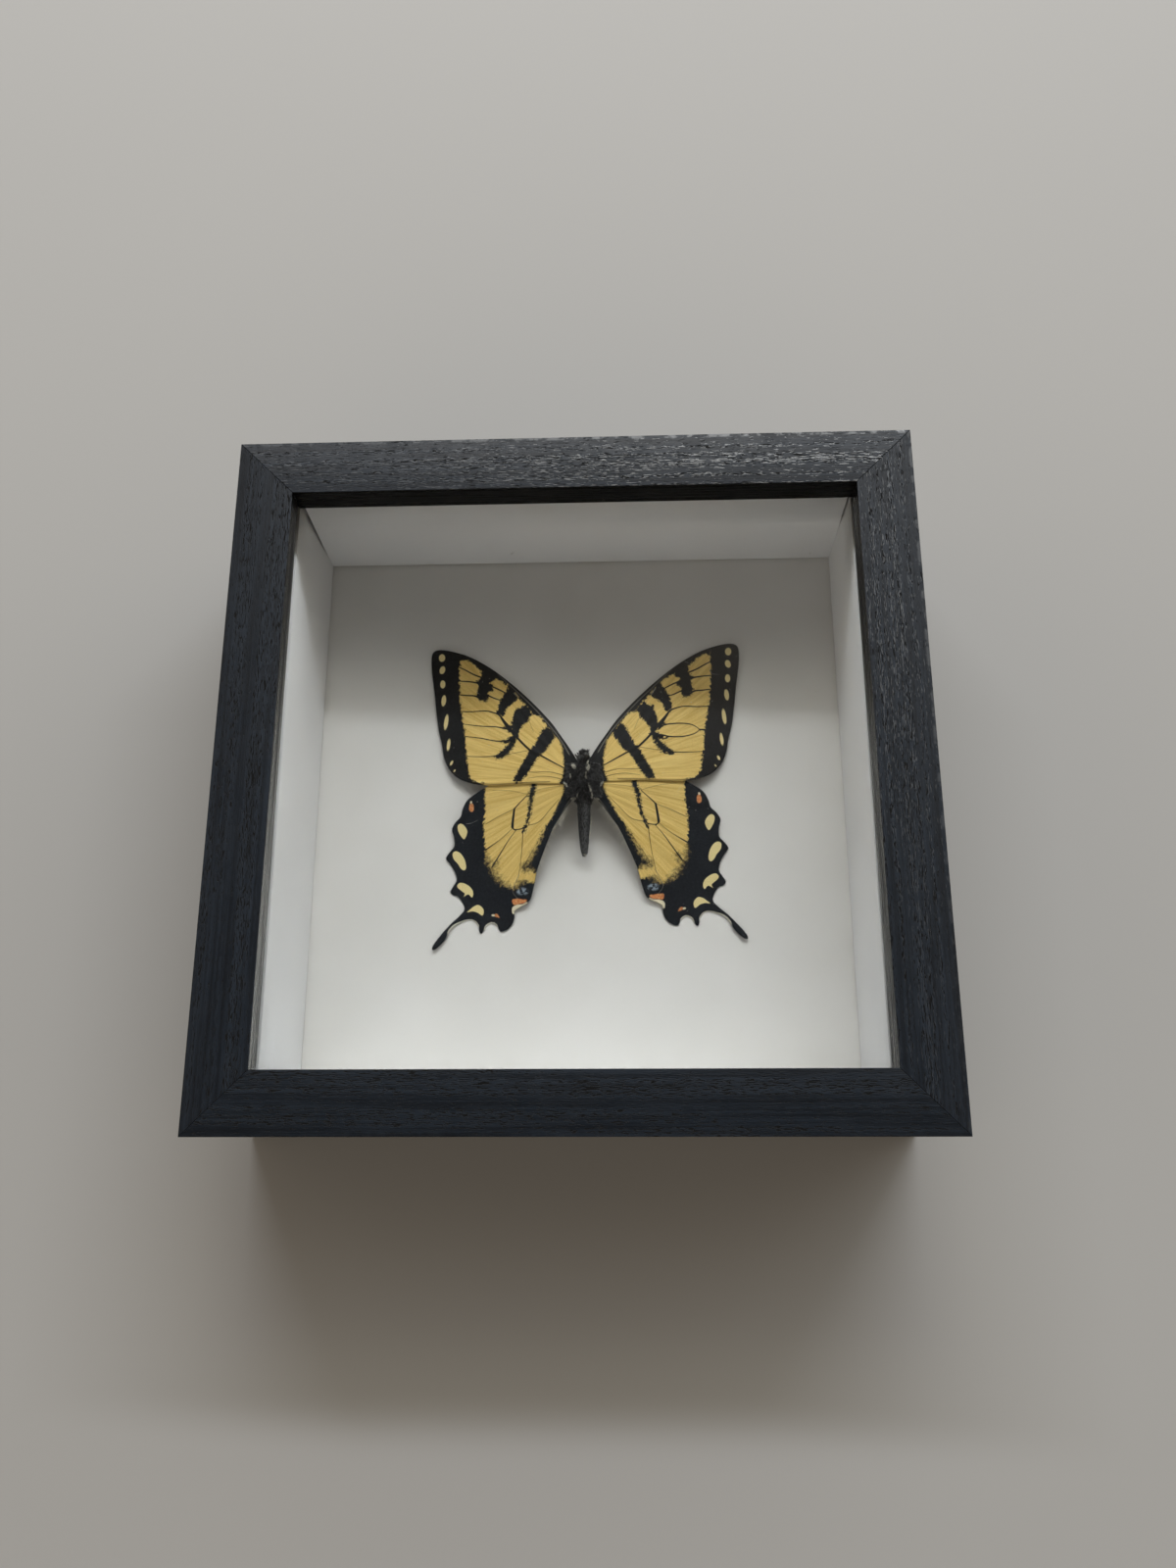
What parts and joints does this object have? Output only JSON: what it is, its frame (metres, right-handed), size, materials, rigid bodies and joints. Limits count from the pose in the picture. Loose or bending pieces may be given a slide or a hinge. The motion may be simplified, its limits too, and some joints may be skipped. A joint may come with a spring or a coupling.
{
  "type": "framed butterfly specimen",
  "caption": "Square black wooden shadow box with a spread tiger swallowtail butterfly on a white board under glass.",
  "frame": {"origin": "centre of the frame's back, in the plane it rests on when it lies on its back", "axes": "+Z out through the glass, +Y towards the butterfly's head and the frame's top, +X to the right as seen from the front"},
  "size_m": [0.168, 0.168, 0.05],
  "materials": {
    "frame_wood": "black stained, satin, open grain",
    "pane_glass": "clear, polished, a little dust and lint",
    "white_lining": "matt white paper over foam board",
    "white_board": "matt, faintly warm white",
    "hardboard": "smooth brown pressed fibre",
    "tab_steel": "zinc plated",
    "wing_scales": "matt yellow scales with black bands, orange and blue spots",
    "body_fur": "black hair and scales",
    "cork": "raw, matt"
  },
  "bodies": {
    "root": {"frame_rail_bottom": "frame_wood", "frame_rail_right": "frame_wood", "frame_rail_top": "frame_wood", "frame_rail_left": "frame_wood", "glass_pane": "pane_glass", "spacer_left": "white_lining", "spacer_right": "white_lining", "spacer_top": "white_lining", "spacer_bottom": "white_lining", "mount_board": "white_board", "back_panel": "hardboard", "tab_bottom_1": "tab_steel", "tab_bottom_2": "tab_steel", "tab_right_1": "tab_steel", "tab_right_2": "tab_steel", "tab_top_1": "tab_steel", "tab_top_2": "tab_steel", "tab_left_1": "tab_steel", "tab_left_2": "tab_steel", "forewing_left": "wing_scales", "forewing_right": "wing_scales", "hindwing_left": "wing_scales", "hindwing_right": "wing_scales", "butterfly_body": "body_fur", "mounting_pad": "cork"}
  },
  "joints": []
}
